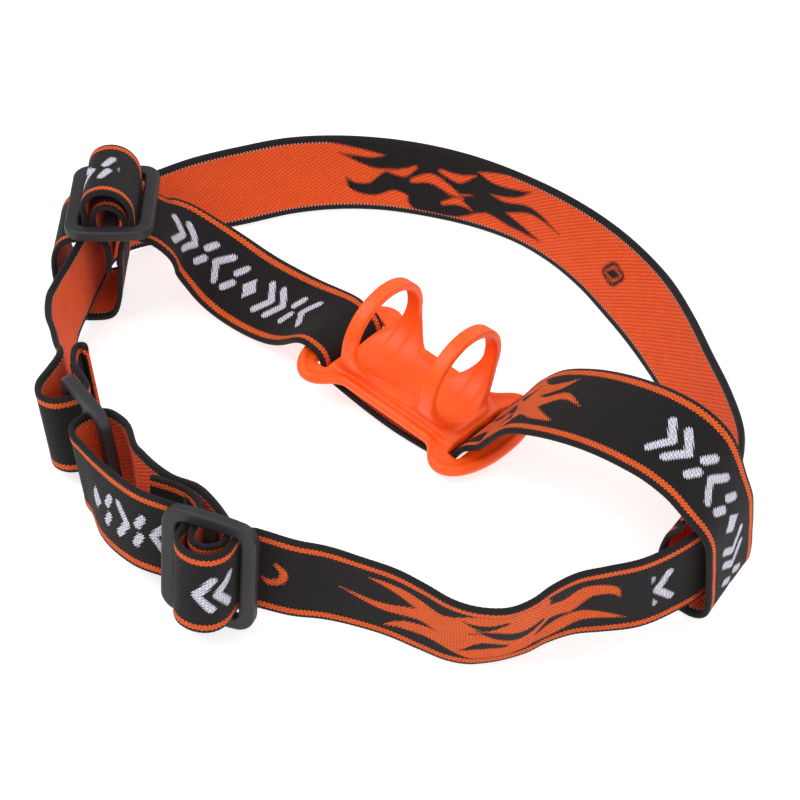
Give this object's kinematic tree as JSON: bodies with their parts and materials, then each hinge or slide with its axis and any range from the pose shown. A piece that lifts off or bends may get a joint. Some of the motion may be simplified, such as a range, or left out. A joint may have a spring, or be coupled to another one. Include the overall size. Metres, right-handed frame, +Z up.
{
  "type": "headlamp head harness",
  "caption": "Elastic webbing head harness with crown strap, tri-glide sliders and a soft two-ring torch holder.",
  "frame": {"origin": "floor level under the middle of the harness as it lies on a table, straps down", "axes": "+X along the crown strap and the torch holder's axis towards the sewn crown loop, +Y towards the back of the head band, +Z up"},
  "size_m": [0.2284, 0.183, 0.049],
  "materials": {
    "webbing": "woven elastic, black outside with orange stripes and an orange inside",
    "slider_plastic": "moulded, fine matt",
    "silicone": "soft satin silicone",
    "thread": "bar tack of polyester thread"
  },
  "bodies": {
    "head_band": {"band_end_hem": "webbing", "band_fixed_end_loop": "webbing", "band_left_side": "webbing", "band_back_left": "webbing", "band_back": "webbing", "band_right": "webbing", "band_front": "webbing", "band_slider_hump": "webbing", "band_adjuster_outer": "webbing", "band_adjuster_turn": "webbing", "band_adjuster_inner": "webbing", "band_free_end": "webbing", "crown_free_end": "webbing", "crown_left_loop": "webbing", "crown_slider_hump": "webbing", "crown_left_run": "webbing", "crown_right_run": "webbing", "crown_fixed_end": "webbing", "crown_right_loop": "webbing", "band_end_bar_tack": "thread", "band_free_end_bar_tack": "thread", "crown_free_end_bar_tack": "thread", "crown_end_bar_tack": "thread"},
    "crown_span": {"crown_left_bend": "webbing", "crown_under_holder": "webbing", "crown_right_bend": "webbing"},
    "torch_holder": {"torch_holder": "silicone"},
    "front_slider": {"front_slider": "slider_plastic"},
    "joining_slider": {"joining_slider": "slider_plastic"},
    "crown_slider": {"crown_slider": "slider_plastic"}
  },
  "joints": [
    {"name": "crown_lift", "type": "slide", "parent": "head_band", "child": "crown_span", "axis": [0, 0, 1], "range_m": [0, 0.06], "deforming": ["crown_left_run", "crown_right_run"]},
    {"name": "holder_slide", "type": "slide", "parent": "crown_span", "child": "torch_holder", "axis": [0.9829, 0.1208, -0.139], "range_m": [-0.005, 0.005], "deforming": ["crown_left_bend", "crown_right_bend"]},
    {"name": "front_slider_rock", "type": "hinge", "parent": "head_band", "child": "front_slider", "pos_m": [0.0308, -0.0806, 0.0172], "axis": [0.0299, 0.0698, 0.9971], "range_deg": [-5, 5]},
    {"name": "joining_slider_rock", "type": "hinge", "parent": "head_band", "child": "joining_slider", "pos_m": [-0.0264, -0.0738, 0.0172], "axis": [-0.0598, -0.0598, 0.9964], "range_deg": [-5, 5]},
    {"name": "crown_slider_rock", "type": "hinge", "parent": "head_band", "child": "crown_slider", "pos_m": [-0.093, -0.0175, 0.0332], "axis": [-0.7424, 0.6685, 0.0436], "range_deg": [-5, 5]}
  ]
}
